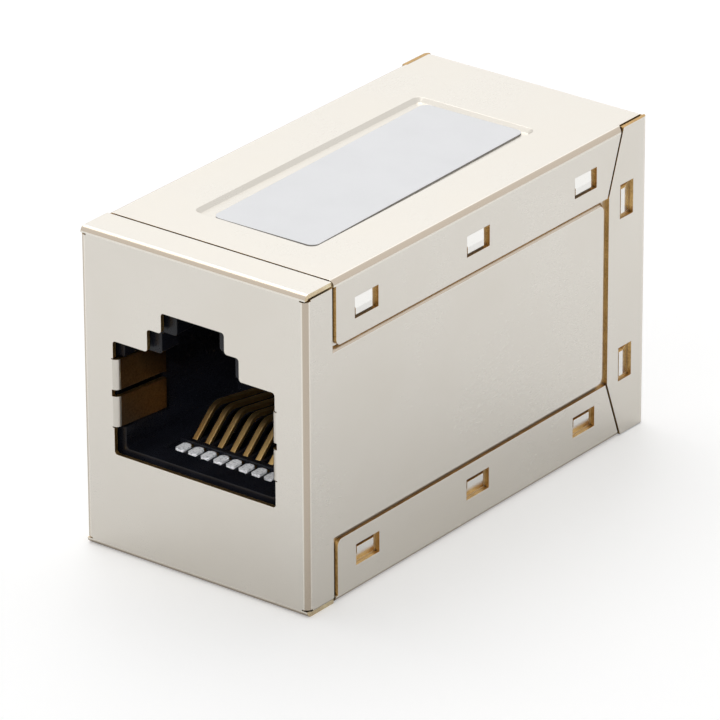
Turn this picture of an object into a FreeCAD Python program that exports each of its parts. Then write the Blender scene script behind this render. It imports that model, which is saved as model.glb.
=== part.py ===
"""Shielded RJ45 inline coupler: two jacks back to back in a folded two-piece metal can.

Frame: millimetres, +Z up, X across the jacks, Y from the front jack to the rear jack.
The origin is the centre of the rectangle that the can stands on.
"""
import FreeCAD
import Part
import Sketcher
import math
import os

# ---------------------------------------------------------------- driving sizes (mm)
SIZES = [
    # the can
    ("can_width", 17.9, "over the side faces"),
    ("can_height", 22.0, "over the top and bottom faces"),
    ("can_length", 36.0, "over the front and rear faces"),
    ("sheet", 0.3, "thickness of the folded sheet"),
    ("bend_inside", 0.1, "inside radius of every fold"),
    ("slit", 0.1, "width of the slits between folded edges"),
    # front shell
    ("lip_depth", 2.67, "top and bottom lips folded back from the front face"),
    ("lip_end_gap", 0.08, "how far the lip ends stop short of the side faces"),
    ("seam_gap", 0.16, "between a lip and the rear shell's top or bottom"),
    ("joggle_run", 0.4, "length of the slope where a side steps under a flap"),
    ("panel_run", 0.26, "length of the slope round the other edges of a raised panel"),
    ("panel_gap", 0.32, "between the raised side panel's edge and the flaps"),
    ("panel_rear_gap", 0.56, "between the raised side panel's rear edge and the ear"),
    ("panel_corner", 0.5, "corner radius of the raised side panel"),
    ("tail_clearance", 0.5, "between the side walls' rear edges and the back wall"),
    # rear shell
    ("flap_setback", 0.2, "flap front edges behind the top's front edge"),
    ("upper_flap", 4.45, "height of the flaps folded down from the top"),
    ("lower_flap", 4.25, "height of the flaps folded up from the bottom"),
    ("flap_corner", 0.45, "radius of the flaps' free front corners"),
    ("ear_length", 4.2, "side ears folded forward from the back wall"),
    ("ear_tip", 2.65, "length of an ear at its top and bottom"),
    ("ear_inset", 0.06, "ears stop this far from the top and bottom faces"),
    ("ear_slit", 0.19, "width of the mitred slits between the ears and the flaps"),
    ("notch_width", 0.4, "top and bottom are narrowed by this beside the ears"),
    # locking windows
    ("window_long", 2.4, "long side of a locking window"),
    ("window_short", 1.45, "short side of a locking window"),
    ("window_first", 6.1, "front face to the first flap window's centre"),
    ("window_last", 6.8, "rear face to the last flap window's centre"),
    ("window_edge", 2.52, "top or bottom face to a flap window's centre"),
    ("ear_window_back", 2.25, "rear face to an ear window's centre"),
    ("ear_window_edge", 5.2, "top or bottom face to an ear window's centre"),
    ("dimple_gap", 0.1, "between a dimple's foot and its window's long edges"),
    ("dimple_tail_gap", 0.22, "between a dimple's foot and its window's far edge"),
    ("dimple_rise", 0.27, "height of the locking dimples"),
    ("dimple_steep", 0.12, "run of a dimple's steep sides"),
    ("dimple_crown", 0.42, "width of the flat on a dimple"),
    # jack mouths in the sheet
    ("mouth_bottom", 6.94, "can's bottom face to the mouth"),
    ("mouth_width", 12.9, "width of the mouth"),
    ("mouth_height", 7.86, "height of the wide part"),
    ("hook_width", 7.3, "width of the lower latch step"),
    ("hook_height", 1.56, "height of the lower latch step"),
    ("latch_width", 5.02, "width of the upper latch step"),
    ("latch_height", 1.41, "height of the upper latch step"),
    ("mouth_corner", 0.22, "corner radius of the mouth"),
    # shield springs at the sides of a mouth
    ("spring_root", 0.14, "springs fold from this far outside the mouth's edge"),
    ("spring_flat", 0.02, "flat between a spring's root and its fold"),
    ("spring_relief", 0.08, "notch beyond the springs, above and below"),
    ("spring_bottom", 1.9, "mouth's bottom to the lower spring"),
    ("spring_height", 2.1, "height of one spring"),
    ("spring_slot", 0.46, "between the two springs of a side"),
    ("spring_length", 4.25, "front face to a spring's end"),
    ("spring_lean", 0.54, "how far a spring's end leans into the mouth"),
    # label and its recess
    ("recess_long", 23.4, "length of the label recess"),
    ("recess_wide", 9.6, "width of the label recess"),
    ("recess_depth", 0.26, "depth of the label recess"),
    ("recess_run", 0.3, "width of the recess's sloping wall"),
    ("recess_corner", 0.55, "corner radius of the recess"),
    ("recess_centre", 17.8, "front face to the recess's centre"),
    ("label_long", 22.6, "length of the label"),
    ("label_wide", 8.0, "width of the label"),
    ("label_turn", 1.0, "degrees by which the label was stuck on askew"),
    ("label_aside", 0.3, "the label's centre from the middle plane"),
    ("label_centre", 17.8, "front face to the label's centre"),
    ("label_corner", 0.6, "corner radius of the label"),
    ("label_thick", 0.1, "thickness of the label"),
    # jack housings
    ("jack_setback", 0.3, "between the sheet and the front of a housing"),
    ("jack_sill", 0.3, "housing mouth's floor above the sheet's mouth"),
    ("jack_width", 11.94, "width of the plug's way"),
    ("jack_height", 7.4, "height of the plug's way"),
    ("keeper_width", 5.86, "width of the lower latch step in a housing"),
    ("keeper_height", 1.55, "height of the lower latch step in a housing"),
    ("tab_width", 3.4, "width of the upper latch step in a housing"),
    ("tab_height", 1.35, "height of the upper latch step in a housing"),
    ("housing_play", 0.05, "each side between a housing and the side walls"),
    ("housing_depth", 12.9, "length of a housing"),
    ("housing_edge", 0.15, "radius of a housing's lower front edge"),
    ("face_plate", 1.67, "depth of the stepped mouth in a housing"),
    ("cavity_depth", 11.3, "front of a housing to the back of its cavity"),
    ("latch_room", 0.75, "extra height and half width behind the face plate"),
    ("latch_room_depth", 7.9, "front of a housing to the end of the latch room"),
    ("spring_pocket", 0.65, "depth of the pockets that hold the shield springs"),
    ("pocket_play", 0.12, "round the springs in their pockets"),
    # contacts
    ("contact_pitch", 1.016, "between neighbouring contacts"),
    ("contact_wide", 0.36, "width of a contact"),
    ("contact_thick", 0.3, "thickness of a contact"),
    ("contact_tip", 2.75, "front face to a contact's tip"),
    ("contact_foot", 4.35, "front face to where a contact starts to rise"),
    ("contact_crest", 6.6, "front face to a contact's crest"),
    ("contact_low", 0.38, "contact's foot below the cavity's floor"),
    ("paddle_wide", 0.66, "width of the flattened end of a contact"),
    ("paddle_long", 1.1, "length of that end"),
    ("paddle_thick", 0.36, "thickness of that end"),
    ("paddle_corner", 0.17, "cut across each corner of that end"),
    ("contact_high", 1.6, "contact's crest above the cavity's floor"),
    ("contact_rear", 0.75, "contact above the cavity's floor at the carrier"),
    ("foot_bend", 0.45, "centre-line radius at the foot"),
    ("crest_bend", 1.3, "centre-line radius at the crest"),
    ("tail_bend", 0.5, "centre-line radius at the carrier"),
    ("tail_crease", 0.25, "straight length beyond each crease of the tail"),
    ("tail_rise", 1.27, "step of a contact's tail towards its row of holes"),
    ("tail_stub", 0.5, "how far a tail stands out of the board"),
    ("comb_slot", 0.76, "width of the slots that the contacts lie in"),
    ("comb_depth", 0.62, "depth of those slots below the cavity's floor"),
    ("comb_wide", 8.5, "width of the trough in front of the contacts' feet"),
    ("comb_trough", 0.3, "depth of that trough"),
    ("comb_bar", 0.35, "length of the bar that covers the contacts' feet"),
    ("comb_bar_skin", 0.18, "thickness of that bar"),
    # carriers and board
    ("carrier_wide", 9.4, "width of a contact carrier"),
    ("carrier_front", 12.2, "front face to a carrier"),
    ("carrier_board_gap", 1.6, "between a carrier and the board"),
    ("carrier_height", 3.2, "height of a carrier"),
    ("board_thick", 1.6, "thickness of the circuit board"),
    ("board_play", 0.15, "each side between the board and the side walls"),
    ("hole_play", 0.1, "round the tails in the board's holes"),
]

CONTACTS = 8
FLAP_WINDOWS = 3


class Size:
    """A length that keeps both its number and the sheet formula that it comes from."""

    def __init__(self, value, formula):
        self.value = value
        self.formula = formula

    def joined(self, sign, other, value):
        return Size(value, "(" + self.formula + " " + sign + " " + size(other).formula + ")")

    def __add__(self, other):
        return self.joined("+", other, self.value + size(other).value)

    def __radd__(self, other):
        return size(other) + self

    def __sub__(self, other):
        return self.joined("-", other, self.value - size(other).value)

    def __rsub__(self, other):
        return size(other) - self

    def __mul__(self, other):
        return self.joined("*", other, self.value * size(other).value)

    def __rmul__(self, other):
        return size(other) * self

    def __truediv__(self, other):
        return self.joined("/", other, self.value / size(other).value)

    def __neg__(self):
        return Size(-self.value, "(-" + self.formula + ")")


def size(thing):
    """A plain number as a Size; a Size as it is."""
    if isinstance(thing, Size):
        return thing
    return Size(float(thing), repr(thing))


def root(thing):
    return Size(math.sqrt(thing.value), "sqrt(" + thing.formula + ")")


def slope_angle(rise, run):
    """The angle, in degrees, whose tangent is rise / run."""
    quotient = rise / run
    return Size(math.degrees(math.atan(quotient.value)), "atan(" + quotient.formula + ")")


# ---------------------------------------------------------------- document and sheet
doc = FreeCAD.newDocument("coupler")
sheet_object = doc.addObject("Spreadsheet::Sheet", "Sizes")
S = {}
for row, (alias, number, note) in enumerate(SIZES, start=1):
    sheet_object.set("A%d" % row, str(number))
    sheet_object.setAlias("A%d" % row, alias)
    sheet_object.set("B%d" % row, note)
    S[alias] = Size(number, "Sizes." + alias)
doc.recompute()

# ---------------------------------------------------------------- worked-out sizes
side = S["can_width"] / 2
front = -(S["can_length"] / 2)
rear = S["can_length"] / 2
top = S["can_height"]
sheet = S["sheet"]
bend_outside = S["bend_inside"] + sheet

lip_end = front + S["lip_depth"]
wrap_front = lip_end + S["seam_gap"]
flap_front = wrap_front + S["flap_setback"]
upper_flap_edge = top - S["upper_flap"]
lower_flap_edge = S["lower_flap"]
side_low = sheet + S["slit"]
side_high = top - sheet - S["slit"]

ear_front = rear - S["ear_length"]
ear_tip_front = rear - S["ear_tip"]
ear_low = S["ear_inset"]
ear_high = top - S["ear_inset"]

mouth_top = S["mouth_bottom"] + S["mouth_height"]
hook_top = mouth_top + S["hook_height"]
latch_top = hook_top + S["latch_height"]
cavity_floor = S["mouth_bottom"] + S["jack_sill"]
cavity_ceiling = cavity_floor + S["jack_height"]
keeper_top = cavity_ceiling + S["keeper_height"]
tab_top = keeper_top + S["tab_height"]

spring_levels = [
    S["mouth_bottom"] + S["spring_bottom"],
    S["mouth_bottom"] + S["spring_bottom"] + S["spring_height"] + S["spring_slot"],
]
spring_top = spring_levels[1] + S["spring_height"]

housing_side = side - sheet - sheet - S["housing_play"]
housing_front = front + sheet + S["jack_setback"]
housing_top = top - sheet - S["recess_depth"] - S["housing_play"]


# ---------------------------------------------------------------- sketch and feature helpers
PLANES = {"XY": "XY_Plane", "XZ": "XZ_Plane", "YZ": "YZ_Plane"}


def origin_plane(body, plane):
    for feature in body.Origin.OriginFeatures:
        if feature.Role == PLANES[plane]:
            return feature
    raise ValueError(plane)


def bind(thing, name, length):
    thing.setExpression(name, length.formula)


def new_body(name, turned=False):
    """A body; the turned ones are built at the front and turned about Z to the rear."""
    body = doc.addObject("PartDesign::Body", name)
    body.Label = name
    if turned:
        body.Placement = FreeCAD.Placement(
            FreeCAD.Vector(0, 0, 0), FreeCAD.Rotation(FreeCAD.Vector(0, 0, 1), 180))
    return body


def new_sketch(body, name, plane, level):
    """A sketch on the body's own origin plane, moved along the plane's axis to level."""
    sketch = body.newObject("Sketcher::SketchObject", name)
    sketch.AttachmentSupport = [(origin_plane(body, plane), "")]
    sketch.MapMode = "FlatFace"
    shift = size(level)
    if plane == "XZ":
        shift = -shift
    sketch.AttachmentOffset = FreeCAD.Placement(
        FreeCAD.Vector(0, 0, shift.value), FreeCAD.Rotation())
    bind(sketch, "AttachmentOffset.Base.z", shift)
    return sketch


def tie_point(geometry, end, u, v):
    """Hold one end of a line or arc at (u, v) from the sketch's origin."""
    return [(Sketcher.Constraint(kind, -1, 1, geometry, end, place.value), place)
            for kind, place in (("DistanceX", size(u)), ("DistanceY", size(v)))]


def add_ties(sketch, ties):
    """Add (constraint, length) pairs in one go, then bind those that have a length."""
    numbers = sketch.addConstraint([constraint for constraint, length in ties])
    for number, (constraint, length) in zip(numbers, ties):
        if length is not None:
            bind(sketch, "Constraints[%d]" % number, length)


def towards(start, finish):
    """Unit step from start to finish along a side that runs along u or v."""
    du = size(finish[0]).value - size(start[0]).value
    dv = size(finish[1]).value - size(start[1]).value
    if abs(du) > abs(dv):
        return (int(math.copysign(1, du)), 0)
    return (0, int(math.copysign(1, dv)))


def add_loop(sketch, corners):
    """A closed loop; a corner (u, v, radius) is rounded and lies between square sides."""
    count = len(corners)
    ends = []
    for index, corner in enumerate(corners):
        u, v = size(corner[0]), size(corner[1])
        if len(corner) == 2:
            ends.append(((u, v), (u, v), None))
            continue
        radius = size(corner[2])
        back = towards(corner, corners[index - 1])
        ahead = towards(corner, corners[(index + 1) % count])
        ends.append((
            (u + back[0] * radius, v + back[1] * radius),
            (u + ahead[0] * radius, v + ahead[1] * radius),
            (u.value + (back[0] + ahead[0]) * radius.value,
             v.value + (back[1] + ahead[1]) * radius.value, radius),
        ))
    first = sketch.GeometryCount
    shapes = []
    ties = []
    for index in range(count):
        start = ends[index][1]
        finish = ends[(index + 1) % count][0]
        shapes.append(Part.LineSegment(
            FreeCAD.Vector(start[0].value, start[1].value, 0),
            FreeCAD.Vector(finish[0].value, finish[1].value, 0)))
        ties += tie_point(first + index, 1, *start)
    for index in range(count):
        before = first + (index - 1) % count
        after = first + index
        arrive, leave, bend = ends[index]
        if bend is None:
            ties.append((Sketcher.Constraint("Coincident", before, 2, after, 1), None))
            continue
        ties += tie_point(before, 2, *arrive)
        arc, forwards = corner_arc(arrive, leave, bend)
        start, finish = (1, 2) if forwards else (2, 1)
        number = first + len(shapes)
        shapes.append(arc)
        ties.append((Sketcher.Constraint("Coincident", before, 2, number, start), None))
        ties.append((Sketcher.Constraint("Coincident", after, 1, number, finish), None))
        ties.append((Sketcher.Constraint("Radius", number, bend[2].value), bend[2]))
    sketch.addGeometry(shapes)
    add_ties(sketch, ties)


def corner_arc(arrive, leave, bend):
    """The arc that rounds a corner, and whether it runs anticlockwise."""
    centre_u, centre_v, radius = bend
    first = math.atan2(arrive[1].value - centre_v, arrive[0].value - centre_u)
    last = math.atan2(leave[1].value - centre_v, leave[0].value - centre_u)
    forwards = (last - first) % (2 * math.pi) < math.pi
    circle = Part.Circle(FreeCAD.Vector(centre_u, centre_v, 0),
                         FreeCAD.Vector(0, 0, 1), radius.value)
    angles = (first, last) if forwards else (last, first)
    return Part.ArcOfCircle(circle, *angles), forwards


def box_loop(u0, v0, u1, v1, radius=None):
    """The corners of an upright rectangle, rounded if a radius is given."""
    corners = [(u0, v0), (u1, v0), (u1, v1), (u0, v1)]
    if radius is None:
        return corners
    return [corner + (radius,) for corner in corners]


def feature(body, kind, name, plane, start, finish, loops, taper=None, backwards=False):
    """Pad or pocket loops drawn at start along the plane's axis as far as finish."""
    sketch = new_sketch(body, name + "_sketch", plane, start)
    for loop in loops:
        add_loop(sketch, loop)
    made = body.newObject("PartDesign::" + kind, name)
    made.Profile = sketch
    length = (size(start) - finish) if backwards else (finish - size(start))
    bind(made, "Length", length)
    along_normal = (plane != "XZ") != backwards
    made.Reversed = along_normal if kind == "Pocket" else not along_normal
    if taper is not None:
        bind(made, "TaperAngle", taper)
    sketch.Visibility = False
    return made


def pad(body, name, plane, start, finish, *loops, **options):
    return feature(body, "Pad", name, plane, start, finish, loops, **options)


def pocket(body, name, plane, start, finish, *loops, **options):
    """A pocket that must take material away."""
    doc.recompute()
    before = body.Shape.Volume
    made = feature(body, "Pocket", name, plane, start, finish, loops, **options)
    doc.recompute()
    if body.Shape.Volume > before - 1e-4:
        raise RuntimeError(name + " cuts nothing")
    return made


def round_edges(body, name, radius, axis, places):
    """Fillet the straight edges that run along axis (0, 1, 2) through the given places."""
    doc.recompute()
    others = [number for number in range(3) if number != axis]
    names = []
    for index, edge in enumerate(body.Shape.Edges, start=1):
        ends = [vertex.Point for vertex in edge.Vertexes]
        for place in places:
            on_line = all(abs(end[other] - size(at).value) < 1e-4
                          for end in ends for other, at in zip(others, place))
            if len(ends) == 2 and on_line:
                names.append("Edge%d" % index)
    if not names:
        raise RuntimeError(name + " finds no edge")
    base = body.Tip
    made = body.newObject("PartDesign::Fillet", name)
    made.Base = (base, names)
    bind(made, "Radius", radius)
    doc.recompute()
    return made


# ---------------------------------------------------------------- shapes shared by both shells
def stepped_loop(low, widths, levels):
    """The stepped RJ45 outline: three widths, each as far up as its level."""
    half, hook, latch = (width / 2 for width in widths)
    points = [
        (-half, low), (half, low), (half, levels[0]), (hook, levels[0]),
        (hook, levels[1]), (latch, levels[1]), (latch, levels[2]), (-latch, levels[2]),
        (-latch, levels[1]), (-hook, levels[1]), (-hook, levels[0]), (-half, levels[0]),
    ]
    return [point + (S["mouth_corner"],) for point in points]


def add_mouth(body, outer, inner):
    """Cut the mouth through a wall and fold its four shield springs inwards.

    outer is the wall's outside face and inner its inside face, both along Y.
    """
    inwards = 1 if size(inner).value > size(outer).value else -1
    low, high = (outer, inner) if inwards > 0 else (inner, outer)
    pocket(body, "mouth", "XZ", low, high,
           stepped_loop(S["mouth_bottom"],
                        (S["mouth_width"], S["hook_width"], S["latch_width"]),
                        (mouth_top, hook_top, latch_top)))
    half = S["mouth_width"] / 2
    out = half + S["spring_root"]
    relief = S["spring_relief"]
    roots = []
    for u0, u1 in ((half - sheet, out), (-out, sheet - half)):
        roots.append(box_loop(u0, spring_levels[0] - relief, u1, spring_top + relief))
    pocket(body, "spring_roots", "XZ", low, high, *roots)
    end = outer + inwards * S["spring_length"]
    folds = []
    for hand in (1, -1):
        root_face = hand * out
        fold_face = hand * (out - S["spring_flat"] - bend_outside)
        back_face = fold_face + hand * sheet
        plan = [
            (root_face, outer), (fold_face, outer),
            (fold_face - hand * S["spring_lean"], end),
            (back_face - hand * S["spring_lean"], end),
            (back_face, inner), (root_face, inner),
        ]
        folds.append((fold_face, outer))
        for number, level in enumerate(spring_levels, start=1):
            pad(body, "spring_%s_%d" % ("left" if hand < 0 else "right", number), "XY",
                level, level + S["spring_height"], plan)
    round_edges(body, "spring_folds", bend_outside, 2, folds)


def window_centres():
    """(distance from the front face, height) of each locking window, and its half sizes."""
    half_long = S["window_long"] / 2
    half_short = S["window_short"] / 2
    flap_span = S["can_length"] - S["window_first"] - S["window_last"]
    pitch = flap_span / (FLAP_WINDOWS - 1)
    places = []
    for number in range(FLAP_WINDOWS):
        along = front + S["window_first"] + number * pitch
        for height in (S["window_edge"], top - S["window_edge"]):
            places.append((along, height, half_long, half_short))
    along = rear - S["ear_window_back"]
    for height in (S["ear_window_edge"], top - S["ear_window_edge"]):
        places.append((along, height, half_short, half_long))
    return places


# ---------------------------------------------------------------- front shell
def make_front_shell():
    """Front face with both sides folded back, and a short lip above and below."""
    body = new_body("front_shell")
    run = S["joggle_run"]
    skew = root(run * run + sheet * sheet) - run
    step_start = flap_front - run
    step_end = flap_front
    tail = rear - sheet - S["tail_clearance"]
    half_plan = [
        (side, step_start), (side - sheet, step_end), (side - sheet, tail),
        (side - 2 * sheet, tail), (side - 2 * sheet, step_end - skew),
        (side - sheet, step_start - skew),
    ]
    plan = [(side, front, bend_outside)] + half_plan
    plan += [(side - sheet, front + sheet, S["bend_inside"])]
    plan += [(-(side - sheet), front + sheet, S["bend_inside"])]
    plan += [(-u, v) for u, v in reversed(half_plan)]
    plan += [(-side, front, bend_outside)]
    pad(body, "face_and_sides", "XY", side_low, side_high, plan)

    # the raised panels: pressed out level with the flaps, so hollow behind
    slope = S["panel_run"]
    lean = slope_angle(slope, sheet)
    rise = root(slope * slope + sheet * sheet) - slope
    low = lower_flap_edge + S["panel_gap"]
    high = upper_flap_edge - S["panel_gap"]
    end = ear_front - S["panel_rear_gap"]
    corner = S["panel_corner"]
    for hand in (1, -1):
        name = "left" if hand < 0 else "right"
        outline = [(step_start, low), (end, low, corner), (end, high, corner),
                   (step_start, high)]
        pad(body, "panel_" + name, "YZ", hand * side, hand * (side - sheet),
            outline, taper=lean, backwards=hand > 0)
        inset = [(step_start - skew, low + rise), (end - rise, low + rise, corner - rise),
                 (end - rise, high - rise, corner - rise), (step_start - skew, high - rise)]
        pocket(body, "panel_back_" + name, "YZ", hand * (side - sheet),
               hand * (side - 2 * sheet), inset, taper=lean, backwards=hand > 0)

    # lips: the face's top and bottom edges folded back
    lip_side = side - S["lip_end_gap"]
    inner = S["bend_inside"]
    foot_high = side_high - S["slit"]
    foot_low = side_low + S["slit"]
    upper = [(front, foot_high), (front, top, bend_outside), (lip_end, top),
             (lip_end, top - sheet), (front + sheet, top - sheet, inner),
             (front + sheet, foot_high)]
    lower = [(front, foot_low), (front + sheet, foot_low), (front + sheet, sheet, inner),
             (lip_end, sheet), (lip_end, 0), (front, 0, bend_outside)]
    pad(body, "upper_lip", "YZ", -lip_side, lip_side, upper)
    pad(body, "lower_lip", "YZ", -lip_side, lip_side, lower)

    # slits that part the lips' folds from the sides' folds
    relief = bend_outside + S["slit"]
    for hand in (1, -1):
        name = "left" if hand < 0 else "right"
        u0, u1 = (side - relief, side) if hand > 0 else (-side, relief - side)
        pocket(body, "upper_slit_" + name, "XZ", front, front + relief,
               box_loop(u0, side_high - S["slit"], u1, side_high))
        pocket(body, "lower_slit_" + name, "XZ", front, front + relief,
               box_loop(u0, side_low, u1, side_low + S["slit"]))

    add_mouth(body, front, front + sheet)
    add_dimples(body)
    return body


def add_dimples(body):
    """Locking dimples pressed out of the sides, steep towards the flap's free edge."""
    margin = side - sheet
    gap = S["dimple_gap"]
    steep = S["dimple_steep"]
    crown = S["dimple_crown"]
    for number, (along, height, half_y, half_z) in enumerate(window_centres(), start=1):
        upright = half_z.value > half_y.value
        upper = height.value > top.value / 2
        y0 = along - half_y
        if upright:
            y1 = along + half_y - gap
            z0 = height - half_z + S["dimple_tail_gap"]
            z1 = height + half_z - gap
            near = (y0 + steep, z0 + steep, y0 + steep + crown, z1 - 2 * steep)
        else:
            y1 = along + half_y - S["dimple_tail_gap"]
            z0 = height - half_z + gap
            z1 = height + half_z - gap
            flat_low = z0 + steep if upper else z1 - steep - crown
            near = (y0 + steep, flat_low, y1 - 3 * steep, flat_low + crown)
        for hand in (1, -1):
            name = "dimple_%s_%d" % ("left" if hand < 0 else "right", number)
            foot = new_sketch(body, name + "_foot", "YZ", hand * margin)
            add_loop(foot, box_loop(y0, z0, y1, z1))
            flat = new_sketch(body, name + "_crown", "YZ", hand * (margin + S["dimple_rise"]))
            add_loop(flat, box_loop(*near))
            loft = body.newObject("PartDesign::AdditiveLoft", name)
            loft.Profile = foot
            loft.Sections = [flat]
            loft.Ruled = True


# ---------------------------------------------------------------- rear shell
def make_rear_shell():
    """Back wall with top, bottom and ears folded forward, and flaps down their edges."""
    body = new_body("rear_shell")
    wrap_end = ear_tip_front
    skirt = [
        (-side, upper_flap_edge), (-side, top, bend_outside), (side, top, bend_outside),
        (side, upper_flap_edge), (side - sheet, upper_flap_edge),
        (side - sheet, top - sheet, S["bend_inside"]),
        (sheet - side, top - sheet, S["bend_inside"]), (sheet - side, upper_flap_edge),
    ]
    tray = [
        (-side, lower_flap_edge), (sheet - side, lower_flap_edge),
        (sheet - side, sheet, S["bend_inside"]), (side - sheet, sheet, S["bend_inside"]),
        (side - sheet, lower_flap_edge), (side, lower_flap_edge),
        (side, 0, bend_outside), (-side, 0, bend_outside),
    ]
    pad(body, "top_and_flaps", "XZ", wrap_front, wrap_end, skirt)
    pad(body, "bottom_and_flaps", "XZ", wrap_front, wrap_end, tray)

    # the flaps stop behind the front seam, with a rounded free corner
    corner = S["flap_corner"]
    for name, edge, fold, sign in (
            ("upper", upper_flap_edge, top - bend_outside, 1),
            ("lower", lower_flap_edge, bend_outside, -1)):
        beyond = edge - sign * corner
        reach = flap_front + 2 * corner
        trim = [(wrap_front, fold), (wrap_front, beyond), (reach, beyond), (reach, edge),
                (flap_front, edge, corner), (flap_front, fold)]
        pocket(body, name + "_flap_front", "YZ", -side, side, trim)

    # mitred rear ends of the flaps, a slit away from the ears
    lean_run = ear_tip_front - ear_front
    for name, edge, tip, far in (("upper", upper_flap_edge, ear_high, top),
                                 ("lower", lower_flap_edge, ear_low, 0)):
        slant = [(ear_front - S["ear_slit"], edge), (ear_front - S["ear_slit"] + lean_run, tip),
                 (wrap_end, far), (wrap_end, edge)]
        for hand in (1, -1):
            x0, x1 = (side - bend_outside, side) if hand > 0 else (-side, bend_outside - side)
            pocket(body, "%s_mitre_%s" % (name, "left" if hand < 0 else "right"),
                   "YZ", x0, x1, slant)

    # top, back wall and bottom in one strip, a little narrower than the can
    strip_side = side - S["notch_width"]
    inner = S["bend_inside"]
    strip = [
        (wrap_end - corner, top), (rear, top, bend_outside), (rear, 0, bend_outside),
        (wrap_end - corner, 0), (wrap_end - corner, sheet), (rear - sheet, sheet, inner),
        (rear - sheet, top - sheet, inner), (wrap_end - corner, top - sheet),
    ]
    pad(body, "strip", "YZ", -strip_side, strip_side, strip)

    # back wall at its full width, with the ears folded forward from it
    pad(body, "back_wall", "XZ", rear - sheet, rear, box_loop(-side, ear_low, side, ear_high))
    ear = [
        (rear, ear_low), (rear, ear_high), (ear_tip_front, ear_high),
        (ear_front, upper_flap_edge), (ear_front, lower_flap_edge), (ear_tip_front, ear_low),
    ]
    pad(body, "ear_right", "YZ", side - sheet, side, ear)
    pad(body, "ear_left", "YZ", -side, sheet - side, ear)
    round_edges(body, "ear_folds", bend_outside, 2, [(side, rear), (-side, rear)])

    # between the ears the back wall follows the strip's two folds
    out = rear + bend_outside
    along = rear - 2 * bend_outside
    for name, edge, sign in (("upper", top, 1), ("lower", size(0), -1)):
        deep = edge - sign * 2 * bend_outside
        beyond = edge + sign * bend_outside
        pocket(body, name + "_fold_trim", "YZ", sheet - side, side - sheet,
               [(out, beyond), (along, beyond), (along, edge), (rear, edge, bend_outside),
                (rear, deep), (out, deep)])

    windows = [box_loop(y - half_y, z - half_z, y + half_y, z + half_z)
               for y, z, half_y, half_z in window_centres()]
    pocket(body, "windows", "YZ", -side, side, *windows)

    # label recess, pressed down so that it stands proud underneath
    run = S["recess_run"]
    depth = S["recess_depth"]
    skew = (root(run * run + depth * depth) - run) * sheet / depth
    lean = slope_angle(run, depth)
    middle = front + S["recess_centre"]
    half_x = S["recess_wide"] / 2
    half_y = S["recess_long"] / 2
    round_corner = S["recess_corner"]
    pad(body, "recess_underside", "XY", top - sheet, top - sheet - depth,
        box_loop(-half_x - skew, middle - half_y - skew, half_x + skew,
                 middle + half_y + skew, round_corner + skew),
        taper=-lean, backwards=True)
    pocket(body, "recess", "XY", top, top - depth,
           box_loop(-half_x, middle - half_y, half_x, middle + half_y, round_corner),
           taper=-lean, backwards=True)

    add_mouth(body, rear, rear - sheet)
    return body


def make_label():
    """A plain sticker lying in the recess."""
    body = new_body("label")
    level = top - S["recess_depth"]
    half_x = S["label_wide"] / 2
    half_y = S["label_long"] / 2
    pad(body, "sticker", "XY", level, level + S["label_thick"],
        box_loop(-half_x, -half_y, half_x, half_y, S["label_corner"]))
    body.setExpression("Placement.Base.x", S["label_aside"].formula)
    body.setExpression("Placement.Base.y", (front + S["label_centre"]).formula)
    body.setExpression("Placement.Rotation.Angle", S["label_turn"].formula)
    return body


# ---------------------------------------------------------------- jack housings
def contact_x(number):
    """Distance of contact 1 to 8 from the middle plane."""
    return (number - (CONTACTS + 1) / 2) * S["contact_pitch"]


def carrier_span():
    board_face = -(S["board_thick"] / 2)
    return front + S["carrier_front"], board_face - S["carrier_board_gap"]


def carrier_levels():
    """Bottom and top of a carrier, about the level at which the contacts pass it."""
    middle = cavity_floor + S["contact_rear"]
    return middle - S["carrier_height"] / 2, middle + S["carrier_height"] / 2


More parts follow.
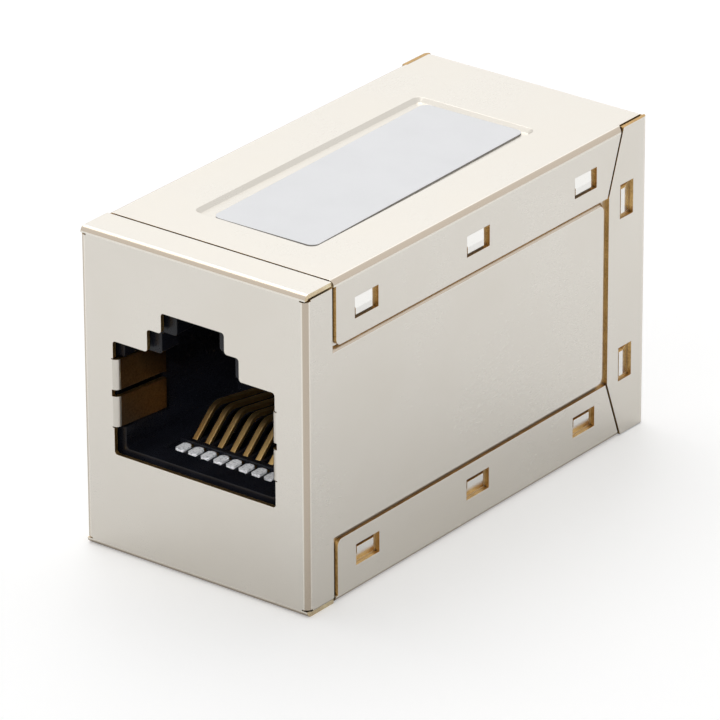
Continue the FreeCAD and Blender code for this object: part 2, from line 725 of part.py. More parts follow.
def make_housing(name, turned):
    """Moulded jack body with a stepped mouth, a latch room and a comb for the contacts."""
    body = new_body(name, turned)
    end = housing_front + S["housing_depth"]
    pad(body, "block", "YZ", -housing_side, housing_side,
        [(housing_front, sheet, S["housing_edge"]), (end, sheet), (end, housing_top),
         (housing_front, housing_top)])
    plate_back = housing_front + S["face_plate"]
    cavity_back = housing_front + S["cavity_depth"]
    pocket(body, "mouth", "XZ", housing_front, plate_back,
           stepped_loop(cavity_floor,
                        (S["jack_width"], S["keeper_width"], S["tab_width"]),
                        (cavity_ceiling, keeper_top, tab_top)))
    half = S["jack_width"] / 2
    pocket(body, "cavity", "XZ", plate_back, cavity_back,
           box_loop(-half, cavity_floor, half, cavity_ceiling))
    room = S["latch_room"]
    room_half = S["keeper_width"] / 2 + room
    pocket(body, "latch_room", "XZ", plate_back, housing_front + S["latch_room_depth"],
           box_loop(-room_half, cavity_ceiling, room_half, tab_top + room))

    # pockets for the shield springs, in both cheeks of the mouth
    play = S["pocket_play"]
    spring_end = front + S["spring_length"] + play
    for hand in (1, -1):
        u0, u1 = (half, half + S["spring_pocket"])
        if hand < 0:
            u0, u1 = -u1, -u0
        pocket(body, "spring_pocket_%s" % ("left" if hand < 0 else "right"), "XZ",
               housing_front, spring_end,
               box_loop(u0, spring_levels[0] - play, u1, spring_top + play))

    # comb: a trough and eight slots in the floor, bridged behind the contacts' paddles
    slot_half = S["comb_slot"] / 2
    slot_low = cavity_floor - S["comb_depth"]
    slot_front = front + S["contact_tip"] - play
    bar_end = front + S["contact_foot"] - play
    bar_start = bar_end - S["comb_bar"]
    trough_half = S["comb_wide"] / 2
    pocket(body, "comb_trough", "XY", cavity_floor - S["comb_trough"], cavity_floor,
           box_loop(-trough_half, plate_back, trough_half, bar_start))
    front_slots = []
    rear_slots = []
    tunnels = []
    for number in range(1, CONTACTS + 1):
        x0 = contact_x(number) - slot_half
        x1 = contact_x(number) + slot_half
        front_slots.append(box_loop(x0, slot_front, x1, bar_start))
        rear_slots.append(box_loop(x0, bar_end, x1, cavity_back))
        tunnels.append(box_loop(x0, slot_low, x1, cavity_floor - S["comb_bar_skin"]))
    pocket(body, "comb_front_slots", "XY", slot_low, cavity_floor - S["comb_trough"],
           *front_slots)
    pocket(body, "comb_rear_slots", "XY", slot_low, cavity_floor, *rear_slots)
    pocket(body, "comb_tunnels", "XZ", bar_start, bar_end, *tunnels)

    # the carrier slides into the back
    low, high = carrier_levels()
    half_carrier = S["carrier_wide"] / 2
    pocket(body, "carrier_seat", "XZ", carrier_span()[0], end,
           box_loop(-half_carrier, low, half_carrier, high))
    throat = S["contact_thick"]
    middle = cavity_floor + S["contact_rear"]
    pocket(body, "contact_throat", "XZ", cavity_back, carrier_span()[0],
           box_loop(-half_carrier + sheet, middle - throat, half_carrier - sheet,
                    middle + throat))
    return body


# ---------------------------------------------------------------- contacts
def contact_points(rise):
    """Centre line of a contact, in Y and Z, with the radius at each rounded turn."""
    low = cavity_floor - S["contact_low"]
    level = cavity_floor + S["contact_rear"]
    carrier_start, carrier_end = carrier_span()
    board_face = -(S["board_thick"] / 2)
    step_end = board_face - S["tail_crease"]
    step_start = step_end - S["tail_rise"] / 2
    return [
        (front + S["contact_tip"], low),
        (front + S["contact_foot"], low, S["foot_bend"]),
        (front + S["contact_crest"], cavity_floor + S["contact_high"], S["crest_bend"]),
        (carrier_start - S["tail_bend"] / 2, level, S["tail_bend"]),
        (step_start, level),
        (step_end, level + rise),
        (S["board_thick"] / 2 + S["tail_stub"], level + rise),
    ]


def add_route(sketch, corners):
    """An open route of straight runs; turns with a radius get an arc tangent to both."""
    spots = [FreeCAD.Vector(size(c[0]).value, size(c[1]).value, 0) for c in corners]
    arcs = [None]
    joins = [(spots[0], spots[0])]
    for index in range(1, len(spots) - 1):
        if len(corners[index]) == 2:
            joins.append((spots[index], spots[index]))
            arcs.append(None)
            continue
        radius = corners[index][2]
        back = (spots[index - 1] - spots[index]).normalize()
        ahead = (spots[index + 1] - spots[index]).normalize()
        half_angle = back.getAngle(ahead) / 2
        reach = radius.value / math.tan(half_angle)
        centre = spots[index] + (back + ahead).normalize() * (radius.value / math.sin(half_angle))
        joins.append((spots[index] + back * reach, spots[index] + ahead * reach))
        arcs.append((centre, radius))
    joins.append((spots[-1], spots[-1]))
    shapes = [Part.LineSegment(joins[index][1], joins[index + 1][0])
              for index in range(len(spots) - 1)]
    last_line = len(shapes) - 1
    ties = tie_point(0, 1, corners[0][0], corners[0][1])
    ties += tie_point(last_line, 2, corners[-1][0], corners[-1][1])
    for index in range(1, len(spots) - 1):
        if arcs[index] is None:
            ties += tie_point(index, 1, *corners[index])
            ties.append((Sketcher.Constraint("Coincident", index - 1, 2, index, 1), None))
            continue
        centre, radius = arcs[index]
        arrive, leave = ((size(end.x), size(end.y)) for end in joins[index])
        arc, forwards = corner_arc(arrive, leave, (centre.x, centre.y, radius))
        start, finish = (1, 2) if forwards else (2, 1)
        number = len(shapes)
        shapes.append(arc)
        ties.append((Sketcher.Constraint("Tangent", index - 1, 2, number, start), None))
        ties.append((Sketcher.Constraint("Tangent", index, 1, number, finish), None))
        ties.append((Sketcher.Constraint("Radius", number, radius.value), radius))
    rounded = [index for index in range(1, len(spots) - 1) if arcs[index] is not None]
    helpers = [Part.Point(spots[index]) for index in rounded]
    for number, index in enumerate(rounded, start=len(shapes)):
        ties += tie_point(number, 1, corners[index][0], corners[index][1])
        ties.append((Sketcher.Constraint("PointOnObject", number, 1, index - 1), None))
        ties.append((Sketcher.Constraint("PointOnObject", number, 1, index), None))
    sketch.addGeometry(shapes)
    sketch.addGeometry(helpers, True)
    add_ties(sketch, ties)


def make_contact(name, number, turned):
    """A spring contact: foot in the comb, crest in the cavity, tail through the board."""
    body = new_body(name, turned)
    x = contact_x(number)
    rise = -S["tail_rise"] if turned else S["tail_rise"]
    corners = contact_points(rise)
    route = new_sketch(body, "route", "YZ", x)
    add_route(route, corners)
    half_x = S["contact_wide"] / 2
    half_z = S["contact_thick"] / 2
    section = new_sketch(body, "section", "XZ", corners[0][0])
    low = corners[0][1]
    add_loop(section, box_loop(x - half_x, low - half_z, x + half_x, low + half_z))
    pipe = body.newObject("PartDesign::AdditivePipe", "wire")
    pipe.Profile = section
    pipe.Spine = (route, [])
    pipe.Transition = "Right corner"
    doc.recompute()
    area = S["contact_wide"].value * S["contact_thick"].value
    expected = area * sum(edge.Length for edge in route.Shape.Edges)
    if abs(body.Shape.Volume - expected) > 0.01 * expected:
        raise RuntimeError(name + " is not a full sweep")
    wide = S["paddle_wide"] / 2
    tip = corners[0][0]
    back = tip + S["paddle_long"]
    cut = S["paddle_corner"]
    pad(body, "paddle", "XY", low - half_z, low - half_z + S["paddle_thick"], [
        (x - wide + cut, tip), (x + wide - cut, tip), (x + wide, tip + cut),
        (x + wide, back - cut), (x + wide - cut, back), (x - wide + cut, back),
        (x - wide, back - cut), (x - wide, tip + cut),
    ])
    return body


def make_carrier(name, turned):
    """Moulded block that the eight contacts run through."""
    body = new_body(name, turned)
    start, end = carrier_span()
    low, high = carrier_levels()
    half = S["carrier_wide"] / 2
    middle = cavity_floor + S["contact_rear"]
    pad(body, "block", "XZ", start, end, box_loop(-half, low, half, high))
    half_x = S["contact_wide"] / 2
    half_z = S["contact_thick"] / 2
    holes = [box_loop(contact_x(number) - half_x, middle - half_z,
                      contact_x(number) + half_x, middle + half_z)
             for number in range(1, CONTACTS + 1)]
    pocket(body, "contact_holes", "XZ", start, end, *holes)
    return body


def make_board():
    """Upright circuit board in the middle, with one row of holes for each jack."""
    body = new_body("circuit_board")
    half = side - 2 * sheet - S["board_play"]
    face = -(S["board_thick"] / 2)
    pad(body, "board", "XZ", face, -face, box_loop(-half, sheet, half, housing_top))
    half_x = S["contact_wide"] / 2 + S["hole_play"]
    half_z = S["contact_thick"] / 2 + S["hole_play"]
    level = cavity_floor + S["contact_rear"]
    holes = []
    for row in (level + S["tail_rise"], level - S["tail_rise"]):
        for number in range(1, CONTACTS + 1):
            x = contact_x(number)
            holes.append(box_loop(x - half_x, row - half_z, x + half_x, row + half_z))
    pocket(body, "tail_holes", "XZ", face, -face, *holes)
    return body


# ---------------------------------------------------------------- build, check and write
def build_all():
    pieces = [make_front_shell(), make_rear_shell(), make_label(), make_board()]
    for end_name, turned in (("front", False), ("rear", True)):
        pieces.append(make_housing(end_name + "_housing", turned))
        pieces.append(make_carrier(end_name + "_contact_carrier", turned))
        for number in range(1, CONTACTS + 1):
            pieces.append(make_contact("%s_contact_%d" % (end_name, number), number, turned))
    doc.recompute()
    return pieces


def check(pieces):
    for thing in doc.Objects:
        if "Invalid" in thing.State or "Error" in thing.State:
            raise RuntimeError(thing.Name + " failed: " + str(thing.State))
    for piece in pieces:
        shape = piece.Shape
        if shape.isNull() or not shape.isValid() or len(shape.Solids) != 1:
            raise RuntimeError(piece.Label + " is not one valid solid")


def write(pieces):
    os.makedirs("parts", exist_ok=True)
    for piece in pieces:
        piece.Shape.exportStep(os.path.join("parts", piece.Label + ".step"))
        box = piece.Shape.BoundBox
        print("%-22s %9.3f mm3  x %.2f..%.2f  y %.2f..%.2f  z %.2f..%.2f" % (
            piece.Label, piece.Shape.Volume, box.XMin, box.XMax, box.YMin, box.YMax,
            box.ZMin, box.ZMax))


all_pieces = build_all()
check(all_pieces)
write(all_pieces)
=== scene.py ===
import math

import bpy
from mathutils import Matrix, Vector


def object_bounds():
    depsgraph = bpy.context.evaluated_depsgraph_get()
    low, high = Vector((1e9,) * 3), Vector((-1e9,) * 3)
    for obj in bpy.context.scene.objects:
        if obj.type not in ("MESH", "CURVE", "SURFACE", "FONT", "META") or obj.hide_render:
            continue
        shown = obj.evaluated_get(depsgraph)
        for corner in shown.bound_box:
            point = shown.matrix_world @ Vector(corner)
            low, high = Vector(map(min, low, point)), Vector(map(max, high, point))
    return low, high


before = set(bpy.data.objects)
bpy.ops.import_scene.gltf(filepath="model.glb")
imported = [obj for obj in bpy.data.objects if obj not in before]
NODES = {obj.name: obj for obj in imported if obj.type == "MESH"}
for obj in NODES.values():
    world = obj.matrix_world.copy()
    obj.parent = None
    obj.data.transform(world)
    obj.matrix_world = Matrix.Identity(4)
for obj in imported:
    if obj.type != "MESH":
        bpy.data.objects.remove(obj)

CAD_BOX = [list(corner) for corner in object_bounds()]
MM = 0.001
JACKS = ("front", "rear")
SHELLS = ("front_shell", "rear_shell")
BOX_LOW, BOX_HIGH = (Vector(corner) for corner in CAD_BOX)
HALF_LONG = CAD_BOX[1][1]
CONTACTS = range(1, 9)
SHEET = 0.3 * MM
SAME_PLACE = 1e-7  # two corners closer than this are one corner
SMOOTH_DEGREES = 25  # facets that turn less than this belong to one face
FLOOR_SIZE = 3.0


# ---------------------------------------------------------------- node helpers
class Nodes:
    """A short way to write a material's node tree."""

    def __init__(self, name):
        self.material = bpy.data.materials.new(name)
        self.material.use_nodes = True
        self.tree = self.material.node_tree
        self.tree.nodes.clear()
        self.output = self.add("ShaderNodeOutputMaterial")
        self.shader = self.add("ShaderNodeBsdfPrincipled")
        self.link(self.shader.outputs[0], self.output.inputs["Surface"])
        self.geometry = self.add("ShaderNodeNewGeometry")
        self.place = self.geometry.outputs["Position"]

    def add(self, kind, **values):
        node = self.tree.nodes.new(kind)
        for key, value in values.items():
            setattr(node, key, value)
        return node

    def link(self, output, socket):
        self.tree.links.new(output, socket)

    def put(self, socket, value):
        if isinstance(value, bpy.types.NodeSocket):
            self.link(value, socket)
        else:
            socket.default_value = value

    def math(self, operation, first, second=0.0):
        node = self.add("ShaderNodeMath", operation=operation)
        self.put(node.inputs[0], first)
        self.put(node.inputs[1], second)
        return node.outputs[0]

    def axis(self, name):
        """One coordinate of the place, in metres."""
        split = self.add("ShaderNodeSeparateXYZ")
        self.link(self.place, split.inputs[0])
        return split.outputs[name]

    def squareness(self):
        """1 where a facet faces straight along an axis, 0.7 half way round a bend."""
        turn = self.add("ShaderNodeVectorMath", operation="ABSOLUTE")
        self.link(self.geometry.outputs["True Normal"], turn.inputs[0])
        parts = self.add("ShaderNodeSeparateXYZ")
        self.link(turn.outputs[0], parts.inputs[0])
        widest = self.math("MAXIMUM", parts.outputs[0], parts.outputs[1])
        return self.math("MAXIMUM", widest, parts.outputs[2])

    def openness(self, distance_mm):
        """0 deep in a slit narrower than the distance, 1 in the open."""
        node = self.add("ShaderNodeAmbientOcclusion", samples=8)
        node.inputs["Distance"].default_value = distance_mm * MM
        return node.outputs["AO"]

    def stretched(self, x=1.0, y=1.0, z=1.0):
        """The place scaled along each axis: a scale under 1 draws a pattern out."""
        node = self.add("ShaderNodeMapping")
        self.link(self.place, node.inputs["Vector"])
        node.inputs["Scale"].default_value = (x, y, z)
        return node.outputs[0]

    def noise(self, size_mm, detail, rough, vector=None):
        node = self.add("ShaderNodeTexNoise")
        self.link(vector or self.place, node.inputs["Vector"])
        node.inputs["Scale"].default_value = 1.0 / (size_mm * MM)
        node.inputs["Detail"].default_value = detail
        node.inputs["Roughness"].default_value = rough
        return node.outputs["Fac"]

    def spread(self, value, low, high, low_out, high_out, smooth=False):
        """The value mapped from low..high to low_out..high_out, and held at both ends."""
        node = self.add("ShaderNodeMapRange")
        if smooth:
            node.interpolation_type = "SMOOTHSTEP"
        for socket, number in zip(node.inputs, (value, low, high, low_out, high_out)):
            self.put(socket, number)
        return node.outputs[0]

    def mix(self, factor, first, second):
        node = self.add("ShaderNodeMix", data_type="RGBA")
        self.put(node.inputs[0], factor)
        self.put(node.inputs[6], first)
        self.put(node.inputs[7], second)
        return node.outputs[2]

    def bump(self, height, distance_mm, strength=1.0, normal=None):
        node = self.add("ShaderNodeBump")
        node.inputs["Strength"].default_value = strength
        node.inputs["Distance"].default_value = distance_mm * MM
        self.link(height, node.inputs["Height"])
        if normal is not None:
            self.link(normal, node.inputs["Normal"])
        return node.outputs[0]

    def soft_edges(self, radius_mm):
        node = self.add("ShaderNodeBevel", samples=6)
        node.inputs["Radius"].default_value = radius_mm * MM
        return node.outputs[0]

    def set(self, **values):
        """Set the shader's sockets, with _ for the blanks in their names."""
        for key, value in values.items():
            self.put(self.shader.inputs[key.replace("_", " ")], value)
        return self.material


# ---------------------------------------------------------------- materials
def plated_sheet(name, tone, rough, wear, painted_rim_highlight=None):
    """Nickel plate over brass sheet: fine rolling grain, faint waviness, handling marks.

    The rim tone is a painted highlight along the borders of a bend, where it runs out into a
    flat face.
    """
    n = Nodes(name)
    grain = n.noise(0.05, 4.0, 0.6, n.stretched(1.0, 0.08, 1.0))
    cloud = n.noise(6.0, 2.0, 0.5)
    specks = n.noise(0.3, 2.0, 0.5)
    light = tone + (1.0,)
    dark = (tone[0] * 0.98, tone[1] * 0.975, tone[2] * 0.965, 1.0)
    colour = n.mix(n.spread(cloud, 0.35, 0.7, 0.0, 1.0), light, dark)
    # Painted highlight: facets at a bend's borders that face nearly along an axis take the
    # lighter rim tone.
    if painted_rim_highlight is not None:
        colour = n.mix(n.spread(n.squareness(), 0.95, 0.985, 0.0, 1.0), colour, painted_rim_highlight + (1.0,))
    spots = n.spread(specks, 0.74, 0.84, 0.0, wear)
    colour = n.mix(spots, colour, (0.52, 0.42, 0.27, 1.0))
    roughness = n.math("ADD", n.spread(grain, 0.3, 0.7, rough - 0.03, rough + 0.03),
                       n.spread(cloud, 0.3, 0.7, -0.02, 0.03))
    normal = n.soft_edges(0.04)
    normal = n.bump(cloud, 0.002, 0.3, normal)
    normal = n.bump(grain, 0.0003, 0.12, normal)
    return n.set(Base_Color=colour, Roughness=roughness, Metallic=1.0, Normal=normal)


def bare_brass(name, dark, light, painted_slit_shade=True):
    """The sheet's cut edges, where the brass under the plating shows."""
    n = Nodes(name)
    streaks = n.noise(0.12, 3.0, 0.6)
    patches = n.noise(1.3, 2.0, 0.5)
    colour = n.mix(n.spread(streaks, 0.3, 0.7, 0.0, 1.0), dark + (1.0,), light + (1.0,))
    worn = tuple(min(1.3 * channel, 1.0) for channel in light) + (1.0,)
    colour = n.mix(n.spread(patches, 0.5, 0.75, 0.0, 0.4), colour, worn)
    # Painted shade: cut edges fade to near black where ambient occlusion within 0.24 mm is
    # strong, deep in narrow slits.
    if painted_slit_shade:
        out_of_slit_shade = n.spread(n.openness(0.24), 0.22, 0.5, 0.0, 1.0)
        colour = n.mix(out_of_slit_shade, (0.02, 0.014, 0.008, 1.0), colour)
    normal = n.bump(streaks, 0.006, 0.6, n.soft_edges(0.04))
    return n.set(Base_Color=colour, Roughness=n.spread(streaks, 0.3, 0.7, 0.28, 0.45),
                 Metallic=1.0, Normal=normal)


def moulded_plastic(name, tone, rough):
    """Black moulded plastic with a fine spark-eroded grain and faint flow marks."""
    n = Nodes(name)
    grain = n.noise(0.06, 2.0, 0.5)
    flow = n.noise(1.6, 3.0, 0.6, n.stretched(1.0, 0.3, 1.0))
    dark = tone + (1.0,)
    light = tuple(channel * 1.8 for channel in tone) + (1.0,)
    colour = n.mix(n.spread(flow, 0.4, 0.75, 0.0, 1.0), dark, light)
    roughness = n.spread(grain, 0.3, 0.7, rough - 0.05, rough + 0.08)
    normal = n.bump(grain, 0.003, 0.5, n.soft_edges(0.06))
    return n.set(Base_Color=colour, Roughness=roughness, Normal=normal,
                 Specular_IOR_Level=0.3)


def contact_metal(name, pad_mm):
    """Gold-plated spring wire whose flattened end is tinned, dull and pale."""
    n = Nodes(name)
    drawn = n.noise(0.05, 2.0, 0.5, n.stretched(1.0, 0.12, 0.12))
    tarnish = n.noise(2.5, 2.0, 0.5)
    mottle = n.noise(0.16, 2.0, 0.6)
    gold = n.mix(n.spread(tarnish, 0.45, 0.75, 0.0, 0.6), (0.90, 0.60, 0.24, 1.0),
                 (0.62, 0.36, 0.13, 1.0))
    tin = n.mix(n.spread(mottle, 0.48, 0.68, 0.0, 1.0), (0.95, 0.96, 0.98, 1.0),
                (0.55, 0.57, 0.60, 1.0))
    along = n.math("ABSOLUTE", n.axis("Y"))
    tinned = n.spread(along, (pad_mm - 0.06) * MM, (pad_mm + 0.06) * MM, 0.0, 1.0, smooth=True)
    rough = n.spread(tinned, 0.0, 1.0, n.spread(drawn, 0.3, 0.7, 0.33, 0.37), 0.5)
    pitting = n.math("MULTIPLY", mottle, tinned)
    normal = n.bump(pitting, 0.03, 0.6, n.soft_edges(0.09))
    return n.set(Base_Color=n.mix(tinned, gold, tin), Roughness=rough,
                 Metallic=n.spread(tinned, 0.0, 1.0, 1.0, 0.1), Normal=normal)


def label_film(name, white):
    """White film stock: faint tooth, slightly uneven whiteness."""
    n = Nodes(name)
    tooth = n.noise(0.09, 4.0, 0.6)
    cloud = n.noise(3.0, 3.0, 0.5)
    colour = n.mix(n.spread(cloud, 0.35, 0.7, 0.0, 1.0), white + (1.0,),
                   tuple(0.97 * channel for channel in white) + (1.0,))
    normal = n.bump(tooth, 0.004, 0.5, n.soft_edges(0.05))
    return n.set(Base_Color=colour, Roughness=n.spread(tooth, 0.3, 0.7, 0.38, 0.52),
                 Normal=normal, Coat_Weight=0.2, Coat_Roughness=0.3)


def board_laminate(name):
    """Green solder mask over a woven laminate."""
    n = Nodes(name)
    weave = n.add("ShaderNodeTexChecker")
    n.link(n.place, weave.inputs["Vector"])
    weave.inputs["Scale"].default_value = 1.0 / (0.5 * MM)
    cloud = n.noise(2.0, 2.0, 0.5)
    colour = n.mix(n.spread(cloud, 0.3, 0.7, 0.0, 1.0), (0.01, 0.12, 0.05, 1.0),
                   (0.02, 0.17, 0.07, 1.0))
    normal = n.bump(weave.outputs["Fac"], 0.01, 0.4)
    return n.set(Base_Color=colour, Roughness=n.spread(cloud, 0.3, 0.7, 0.3, 0.4),
                 Normal=normal)


PLATE = plated_sheet("nickel_plate", (0.80, 0.764, 0.70), 0.30, 0.02)
# Bends: worn brass spots, and a darker tone that is painted shade for the dark surroundings they
# mirror.
BEND_PAINTED_SHADE = plated_sheet("nickel_plate_on_bends_worn_and_painted_shade", (0.58, 0.50, 0.41), 0.24, 0.5,
                    painted_rim_highlight=(0.90, 0.86, 0.78))
# A lighter copy of the plate: painted highlight on the dimples.
LIGHT_PLATE_PAINTED_HIGHLIGHT = plated_sheet("nickel_plate_painted_highlight", (0.93, 0.92, 0.89), 0.20, 0.02)
SHADED = plated_sheet("nickel_plate_shaded", (0.68, 0.645, 0.585), 0.30, 0.02)
BRASS = bare_brass("cut_brass_edge", (0.34, 0.19, 0.06), (0.66, 0.44, 0.18))
# A paler copy of the cut-edge brass: painted light on the lip ends at the front corners.
LIT_BRASS_PAINTED_LIGHT = bare_brass("cut_brass_edge_painted_light", (0.60, 0.46, 0.28), (0.86, 0.74, 0.52), False)
# A near-black copy of the brass: painted shade on the springs' faces inside the jacks.
INSIDE_PAINTED_SHADE = bare_brass("sheet_in_jack_painted_shade", (0.10, 0.06, 0.03), (0.18, 0.11, 0.055), False)
BLACK = moulded_plastic("housing_black", (0.005, 0.0055, 0.008), 0.28)
CARRIER = moulded_plastic("carrier_black", (0.012, 0.012, 0.014), 0.5)
GOLD = contact_metal("contact_gold", 14.15)
FILM = label_film("label_film", (0.80, 0.805, 0.82))
# A dark copy of the film for the label's side faces: painted shade along its edges.
FILM_EDGE_PAINTED_SHADE = label_film("label_film_edge_painted_shade", (0.22, 0.21, 0.20))
GREEN = board_laminate("board_laminate")


# ---------------------------------------------------------------- finishes on the CAD nodes
PLATED, CUT, BENT, PALE_CUT, JACK_SIDE, DIMPLED, SHADOWED = range(7)
SHELL_MATERIALS = (PLATE, BRASS, BEND_PAINTED_SHADE, LIT_BRASS_PAINTED_LIGHT, INSIDE_PAINTED_SHADE, LIGHT_PLATE_PAINTED_HIGHLIGHT, SHADED)


def finish(node, *materials):
    """Give a CAD node its materials, in the order of their slots."""
    mesh = NODES[node].data
    mesh.materials.clear()
    for material in materials:
        mesh.materials.append(material)
    return mesh


def is_axis_aligned(normal):
    return max(abs(channel) for channel in normal) > 0.9995


def polygon_edges(mesh, polygon):
    """A polygon's edges, each a pair of corners as whole numbers of SAME_PLACE."""
    keys = [tuple(round(value / SAME_PLACE) for value in mesh.vertices[vertex].co)
            for vertex in polygon.vertices]
    return [frozenset(pair) for pair in zip(keys, keys[1:] + keys[:1])]


def face_islands(mesh):
    """Groups of polygons joined across nearly flat edges."""
    limit = math.cos(math.radians(SMOOTH_DEGREES))
    edges = {}
    for polygon in mesh.polygons:
        for edge in polygon_edges(mesh, polygon):
            edges.setdefault(edge, []).append(polygon.index)
    group = list(range(len(mesh.polygons)))

    def find(index):
        while group[index] != index:
            group[index] = group[group[index]]
            index = group[index]
        return index

    for sharing in edges.values():
        if len(sharing) != 2:
            continue
        first, second = sharing
        if mesh.polygons[first].normal.dot(mesh.polygons[second].normal) >= limit:
            group[find(first)] = find(second)
    islands = {}
    for index in range(len(mesh.polygons)):
        islands.setdefault(find(index), []).append(index)
    return list(islands.values())


def island_width(mesh, island):
    """Area over half the length of the island's outline: the width of a long strip."""
    area = sum(mesh.polygons[index].area for index in island)
    count = {}
    for index in island:
        for edge in polygon_edges(mesh, mesh.polygons[index]):
            count[edge] = count.get(edge, 0) + 1
    outline = 0.0
    for edge, times in count.items():
        if times == 1:
            ends = [Vector(corner) for corner in edge]
            outline += (ends[0] - ends[-1]).length * SAME_PLACE
    return area / max(outline / 2, 1e-9)


def from_box_faces(centre):
    """Along each axis, the distance to the nearer side of the can's box."""
    return [min(centre[axis] - BOX_LOW[axis], BOX_HIGH[axis] - centre[axis])
            for axis in range(3)]


def finish_shell(node):
    """Plate on the sheet's faces, bare brass on its cut edges, worn plate darkened as painted
    shade on its bends; lighter and darker copies of the plate and brass add painted light and
    shade.
    """
    mesh = finish(node, *SHELL_MATERIALS)
    for island in face_islands(mesh):
        is_cut = island_width(mesh, island) < SHEET * 1.15
        for index in island:
            polygon = mesh.polygons[index]
            polygon.material_index = shell_slot(node, polygon, is_cut)


def shell_slot(node, polygon, is_cut):
    # side panel slopes take the darker bend plate: painted shade in the seams
    if on_side_slope(polygon) and not on_dimple(node, polygon):
        return BENT
    if is_cut:
        # lip ends at the front corners take the paler brass: painted light
        return PALE_CUT if at_front_corner(polygon.center) else CUT
    # springs' faces inside a jack take the near-black brass: painted shade
    if in_mouth(polygon):
        return JACK_SIDE
    if on_recess_wall(polygon) or on_spring_fold(polygon):
        return SHADOWED
    # dimples take the lighter plate: painted highlight
    if on_dimple(node, polygon):
        return DIMPLED
    # bends take the darker bend plate: painted shade
    if on_can_bend(polygon.center) and not is_axis_aligned(polygon.normal):
        return BENT
    return PLATED


def on_side_slope(polygon):
    """The slopes round the raised side panels, where the sheet stays plated; they take the
    darker bend plate as painted shade.
    """
    x, y, z = (value / MM for value in polygon.center)
    return (8.45 < abs(x) < 8.94 and 3.5 < z < 18.5 and HALF_LONG / MM - abs(y) > 1
            and 0.3 < abs(polygon.normal[0]) < 0.97)


def in_mouth(polygon):
    """The springs' faces that look into a jack."""
    x, y, z = (value / MM for value in polygon.center)
    return (0.35 < HALF_LONG / MM - abs(y) < 4.4 and abs(x) < 6.6 and 8 < z < 14
            and abs(polygon.normal[0]) > 0.9)


def on_recess_wall(polygon):
    """The sloping walls of the label's recess in the top."""
    x, y, z = (value / MM for value in polygon.center)
    return (0.01 < BOX_HIGH[2] / MM - z < 0.3 and abs(x) < 5.2 and abs(y) < 15
            and 0.2 < polygon.normal[2] < 0.97)


def on_spring_fold(polygon):
    """The folds from which the springs run into a jack."""
    x, y, z = (value / MM for value in polygon.center)
    return (HALF_LONG / MM - abs(y) < 0.36 and 6 < abs(x) < 6.7 and 8.8 < z < 13.6
            and not is_axis_aligned(polygon.normal))


def on_dimple(node, polygon):
    """The locking dimples that stand out of the front shell's sides into the windows."""
    x, y, z = (value / MM for value in polygon.center)
    if node != "front_shell" or not 8.66 < abs(x) < 8.94 or abs(y) > 17.4:
        return False
    return from_box_faces(polygon.center)[2] / MM < 3.4 or y > 14.6


def at_front_corner(centre):
    """Cut ends of the lips, right at the front ends of the can's long edges."""
    aside, behind, level = (distance / MM for distance in from_box_faces(centre))
    return level < 0.45 and aside < 0.6 and behind < 3.2 and centre[1] < 0


def on_can_bend(centre):
    """Close to two sides of the can's box at once."""
    return sum(distance / MM < 0.42 for distance in from_box_faces(centre)) >= 2


for shell in SHELLS:
    finish_shell(shell)
label = finish("label", FILM, FILM_EDGE_PAINTED_SHADE)
# faces that do not face up take the dark film: painted shade
for polygon in label.polygons:
    polygon.material_index = 0 if polygon.normal[2] > 0.5 else 1
finish("circuit_board", GREEN)
for jack in JACKS:
    finish(jack + "_housing", BLACK)
    finish(jack + "_contact_carrier", CARRIER)
    for number in CONTACTS:
        finish("%s_contact_%d" % (jack, number), GOLD)


# ---------------------------------------------------------------- floor and light
def make_floor():
    """A plain pale floor: white to the camera, and in mirrors a painted glow that grows away
    from the can, leaving painted shade near its foot.
    """
    bpy.ops.mesh.primitive_plane_add(size=FLOOR_SIZE, location=(0, 0, 0))
    floor = bpy.context.object
    floor.name = "floor"
    n = Nodes("floor_white")
    n.set(Base_Color=(0.80, 0.80, 0.80, 1.0), Roughness=0.55, Specular_IOR_Level=0.3)
    rays = n.add("ShaderNodeLightPath")
    seen = n.math("MULTIPLY", rays.outputs["Is Camera Ray"], 0.27)
    # Painted light: a glow seen only in mirrors, none within 20 mm of the can's middle, rising
    # to 0.13 at 52 mm.
    across = n.math("MULTIPLY", n.axis("X"), n.axis("X"))
    along = n.math("MULTIPLY", n.axis("Y"), n.axis("Y"))
    distance = n.math("SQRT", n.math("ADD", across, along))
    painted_glow_ramp = n.spread(distance, 20 * MM, 52 * MM, 0.0, 0.13)
    painted_mirror_glow = n.math("MULTIPLY", rays.outputs["Is Glossy Ray"], painted_glow_ramp)
    glow = n.add("ShaderNodeEmission")
    glow.inputs["Color"].default_value = (1.0, 1.0, 1.0, 1.0)
    n.link(n.math("ADD", seen, painted_mirror_glow), glow.inputs["Strength"])
    both = n.add("ShaderNodeAddShader")
    n.link(n.shader.outputs[0], both.inputs[0])
    n.link(glow.outputs[0], both.inputs[1])
    n.link(both.outputs[0], n.output.inputs["Surface"])
    floor.data.materials.append(n.material)


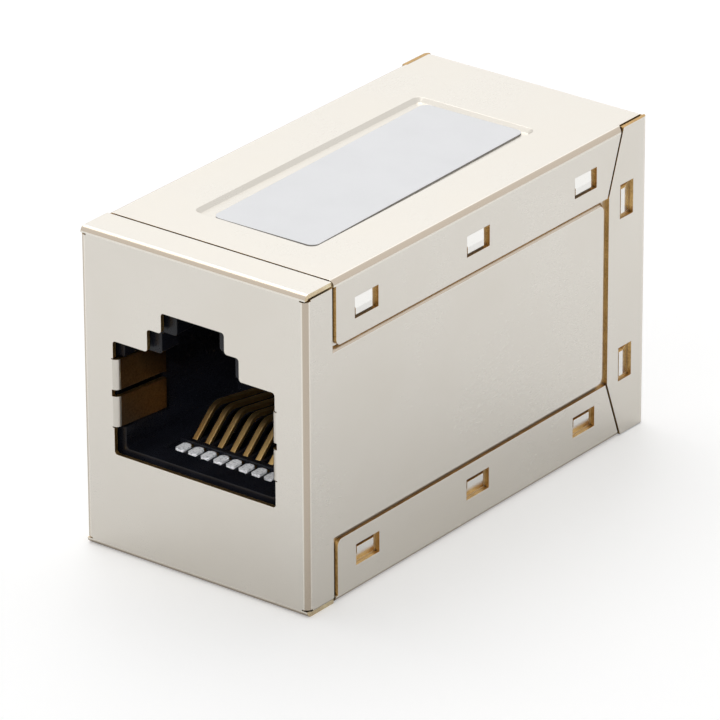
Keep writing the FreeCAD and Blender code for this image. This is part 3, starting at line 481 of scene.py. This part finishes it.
def make_world():
    """White where it is seen or mirrored, and plainer where it only gives light."""
    world = bpy.data.worlds.new("studio")
    bpy.context.scene.world = world
    world.use_nodes = True
    tree = world.node_tree
    tree.nodes.clear()
    output = tree.nodes.new("ShaderNodeOutputWorld")
    back = tree.nodes.new("ShaderNodeBackground")
    rays = tree.nodes.new("ShaderNodeLightPath")
    back.inputs["Color"].default_value = (1.0, 1.0, 1.0, 1.0)
    seen = rays.outputs["Is Camera Ray"]
    for name in ("Is Glossy Ray", "Is Transmission Ray"):
        node = tree.nodes.new("ShaderNodeMath")
        node.operation = "MAXIMUM"
        tree.links.new(seen, node.inputs[0])
        tree.links.new(rays.outputs[name], node.inputs[1])
        seen = node.outputs[0]
    strength = tree.nodes.new("ShaderNodeMapRange")
    tree.links.new(seen, strength.inputs[0])
    strength.inputs["To Min"].default_value = 0.66
    strength.inputs["To Max"].default_value = 1.0
    tree.links.new(strength.outputs[0], back.inputs["Strength"])
    tree.links.new(back.outputs[0], output.inputs["Surface"])


def add_lamp(name, place_mm, aim_mm, side_mm, power, spread_degrees=180):
    """A square area lamp that looks at a place. Power is in watts."""
    data = bpy.data.lights.new(name, "AREA")
    data.shape = "SQUARE"
    data.size = side_mm * MM
    data.energy = power
    data.spread = math.radians(spread_degrees)
    lamp = bpy.data.objects.new(name, data)
    bpy.context.scene.collection.objects.link(lamp)
    place = Vector(place_mm) * MM
    aim = Vector(aim_mm) * MM
    lamp.location = place
    lamp.rotation_euler = (aim - place).to_track_quat("-Z", "Y").to_euler()


def make_camera():
    """A long lens aimed at the front face's foot, with the frame moved off it. Lengths in mm."""
    azimuth, elevation, roll = (math.radians(angle) for angle in (37.655, 24.821, -0.285))
    distance, shift_x, shift_y = 426.2, -10.311, -13.863
    back = Vector((math.sin(azimuth) * math.cos(elevation),
                   -math.cos(azimuth) * math.cos(elevation), math.sin(elevation)))
    level = Vector((math.cos(azimuth), math.sin(azimuth), 0))
    rise = back.cross(level)
    right = level * math.cos(roll) + rise * math.sin(roll)
    up = rise * math.cos(roll) - level * math.sin(roll)
    place = back * distance - right * shift_x - up * shift_y + Vector((0, -HALF_LONG / MM, 0))
    data = bpy.data.cameras.new("camera")
    data.sensor_width = 36.0
    data.lens = 338.4
    data.clip_start = 0.01
    data.clip_end = 20.0
    camera = bpy.data.objects.new("camera", data)
    bpy.context.scene.collection.objects.link(camera)
    turn = Matrix((right, up, back)).transposed().to_4x4()
    camera.matrix_world = Matrix.Translation(place * MM) @ turn
    bpy.context.scene.camera = camera


make_floor()
make_world()
add_lamp("key", (-180, 90, 475), (0, 0, 8), 400, 0.86)
add_lamp("back", (-385, 504, 294), (0, 0, 20), 600, 0.058)
add_lamp("mouth", (75, -160, 105), (0, -17, 10), 10, 0.00022, 2.5)
make_camera()
bpy.context.scene.view_settings.view_transform = "Standard"
